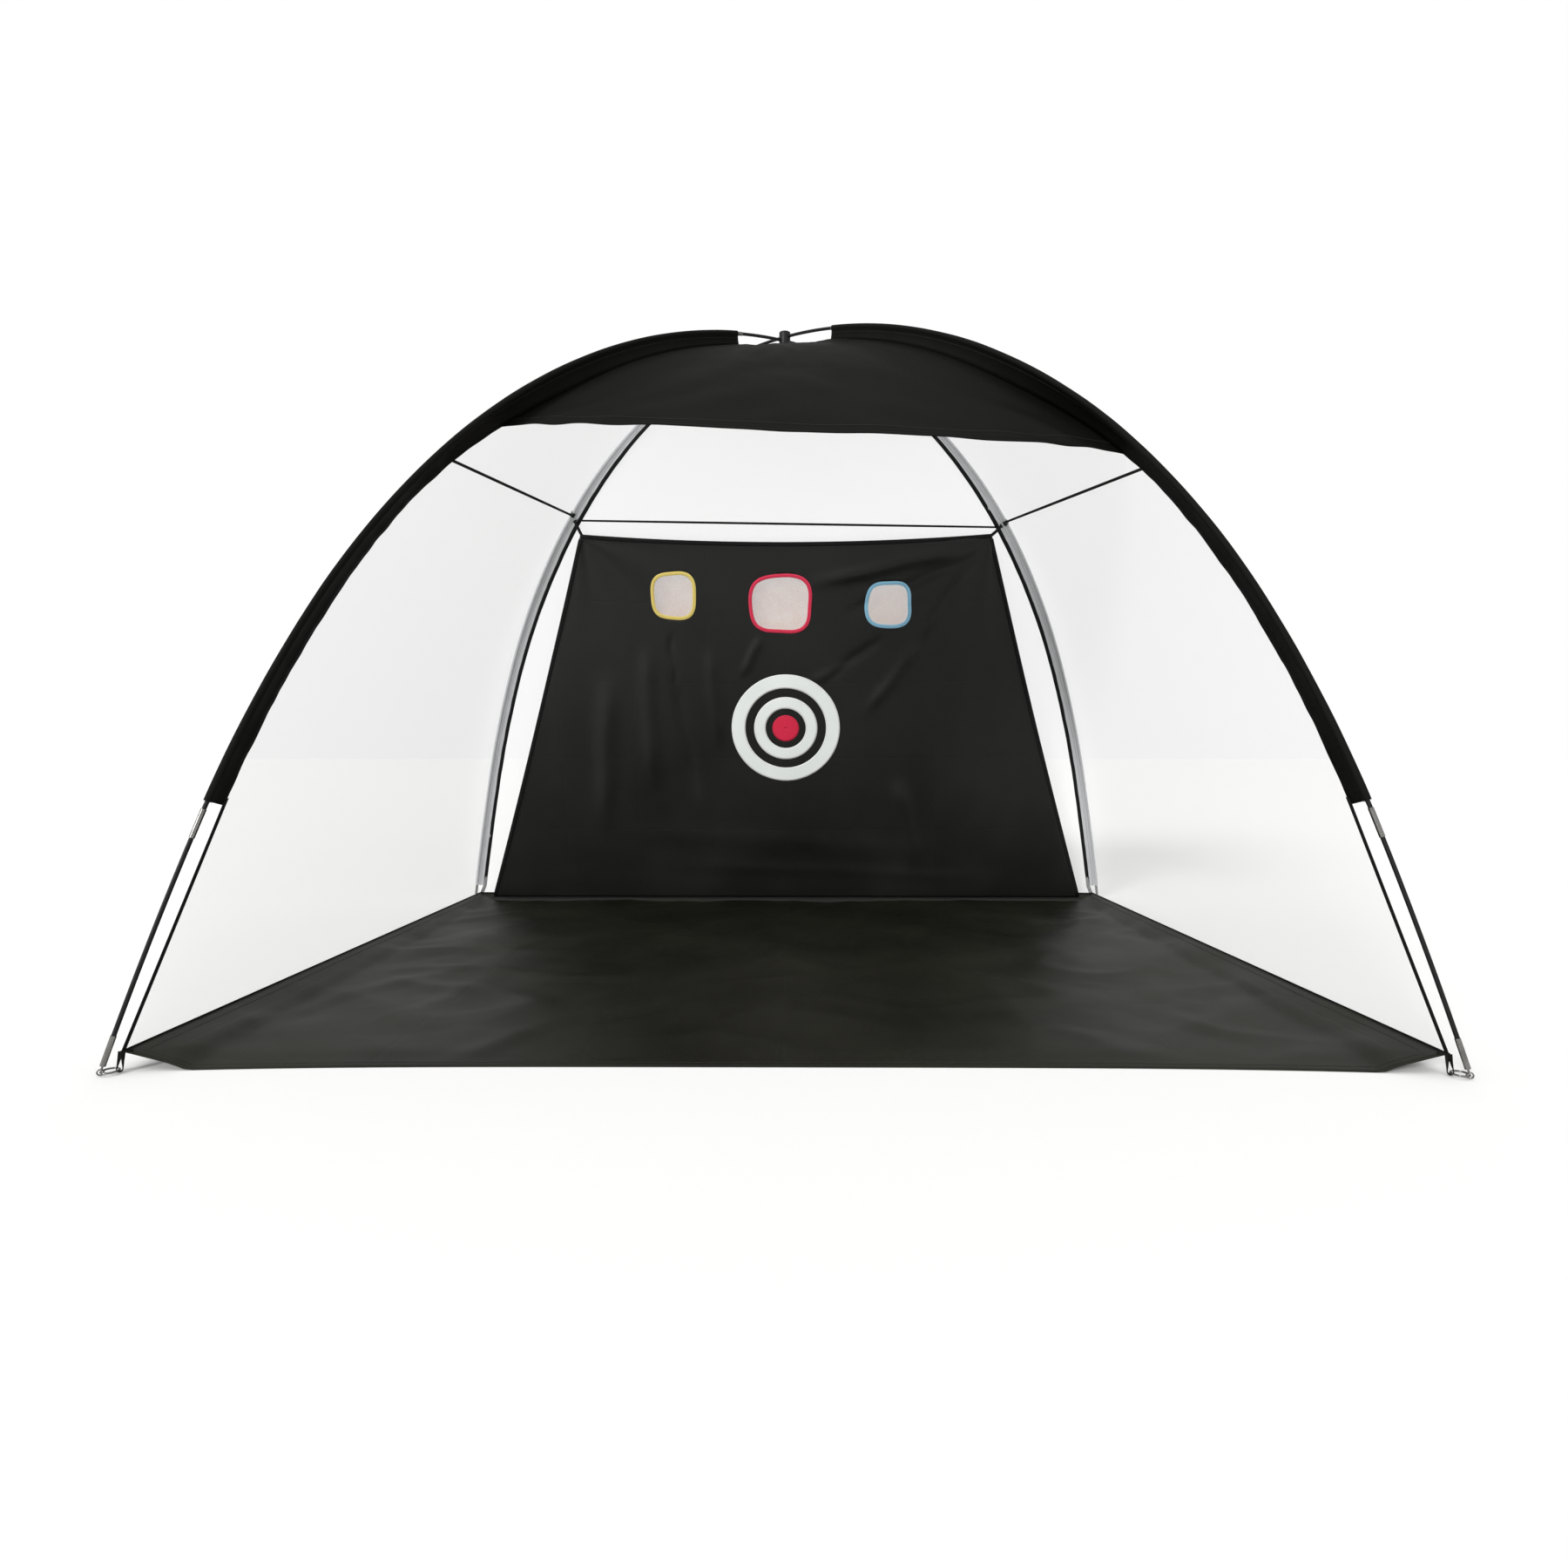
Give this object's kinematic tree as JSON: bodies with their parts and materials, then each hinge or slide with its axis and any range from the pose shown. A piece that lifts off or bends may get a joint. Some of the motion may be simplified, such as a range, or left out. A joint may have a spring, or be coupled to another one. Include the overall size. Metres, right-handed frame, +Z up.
{
  "type": "golf chipping net",
  "caption": "Dome-shaped golf chipping net with crossed bent poles, see-through net walls, a black canopy and ground sheet, and a hanging target cloth with ball pockets and a bullseye.",
  "frame": {"origin": "on the ground, in the middle of the four pole feet", "axes": "X runs across the net, the open front faces -Y and +Z is up"},
  "size_m": [3.0206, 2.3226, 2.1424],
  "materials": {
    "fibreglass": "satin black fibreglass rod",
    "plated_steel": "plated steel, softly polished",
    "shock_cord": "braided elastic cord",
    "black_plastic": "moulded matte black",
    "white_netting": "fine white polyester mesh",
    "pale_netting": "fine pale mesh",
    "pale_sleeve_cloth": "thin white mesh tunnel over a dark pole",
    "yellow_binding": "woven tape",
    "red_binding": "woven tape",
    "blue_binding": "woven tape",
    "white_applique": "woven cloth",
    "red_applique": "woven cloth",
    "black_webbing": "woven webbing",
    "black_cloth": "thin woven polyester with a soft sheen"
  },
  "bodies": {
    "frame_and_net": {"anchor_pins": "plated_steel", "corner_straps": "black_webbing", "crossing_clip": "black_plastic", "front_canopy": "black_cloth", "front_left_sleeve": "black_cloth", "front_right_sleeve": "black_cloth", "ground_sheet": "black_cloth", "left_roof_net": "white_netting", "left_wall_net": "white_netting", "lower_pole_ferrules": "plated_steel", "lower_pole_section_1": "fibreglass", "lower_pole_section_10": "fibreglass", "lower_pole_section_11": "fibreglass", "lower_pole_section_2": "fibreglass", "lower_pole_section_3": "fibreglass", "lower_pole_section_4": "fibreglass", "lower_pole_section_5": "fibreglass", "lower_pole_section_6": "fibreglass", "lower_pole_section_7": "fibreglass", "lower_pole_section_8": "fibreglass", "lower_pole_section_9": "fibreglass", "lower_pole_shock_cord": "shock_cord", "pole_tips": "plated_steel", "rear_left_sleeve": "pale_sleeve_cloth", "rear_pole_loops": "black_webbing", "rear_right_sleeve": "pale_sleeve_cloth", "rear_roof_net": "white_netting", "rear_wall_net": "white_netting", "right_roof_net": "white_netting", "right_wall_net": "white_netting", "roof_seam_tapes": "black_webbing", "upper_pole_ferrules": "plated_steel", "upper_pole_section_1": "fibreglass", "upper_pole_section_10": "fibreglass", "upper_pole_section_11": "fibreglass", "upper_pole_section_2": "fibreglass", "upper_pole_section_3": "fibreglass", "upper_pole_section_4": "fibreglass", "upper_pole_section_5": "fibreglass", "upper_pole_section_6": "fibreglass", "upper_pole_section_7": "fibreglass", "upper_pole_section_8": "fibreglass", "upper_pole_section_9": "fibreglass", "upper_pole_shock_cord": "shock_cord"},
    "target": {"target_cloth": "black_cloth", "target_rings": "white_applique", "target_spot": "red_applique", "target_ties": "black_webbing", "left_pocket_rim": "yellow_binding", "middle_pocket_rim": "red_binding", "right_pocket_rim": "blue_binding", "left_pocket_bag": "pale_netting", "middle_pocket_bag": "pale_netting", "right_pocket_bag": "pale_netting"},
    "front_left_ring_body": {"front_left_ring": "plated_steel"},
    "front_right_ring_body": {"front_right_ring": "plated_steel"},
    "rear_left_ring_body": {"rear_left_ring": "plated_steel"},
    "rear_right_ring_body": {"rear_right_ring": "plated_steel"}
  },
  "joints": [
    {"name": "target_fold", "type": "hinge", "parent": "frame_and_net", "child": "target", "pos_m": [0, 1.075, 0.019], "axis": [1, 0, 0], "range_deg": [0, 74]},
    {"name": "front_left_ring_turn", "type": "hinge", "parent": "frame_and_net", "child": "front_left_ring_body", "pos_m": [-1.49038, -1.14263, 0.009], "axis": [0.7936, 0.6084, 0], "range_deg": [-15, 15]},
    {"name": "front_right_ring_turn", "type": "hinge", "parent": "frame_and_net", "child": "front_right_ring_body", "pos_m": [1.49014, -1.14244, 0.009], "axis": [-0.7936, 0.6084, 0], "range_deg": [-15, 15]},
    {"name": "rear_left_ring_turn", "type": "hinge", "parent": "frame_and_net", "child": "rear_left_ring_body", "pos_m": [-1.48899, 1.14156, 0.009], "axis": [0.7936, -0.6084, 0], "range_deg": [-15, 15]},
    {"name": "rear_right_ring_turn", "type": "hinge", "parent": "frame_and_net", "child": "rear_right_ring_body", "pos_m": [1.48888, 1.14148, 0.009], "axis": [-0.7936, -0.6084, 0], "range_deg": [-15, 15]}
  ]
}
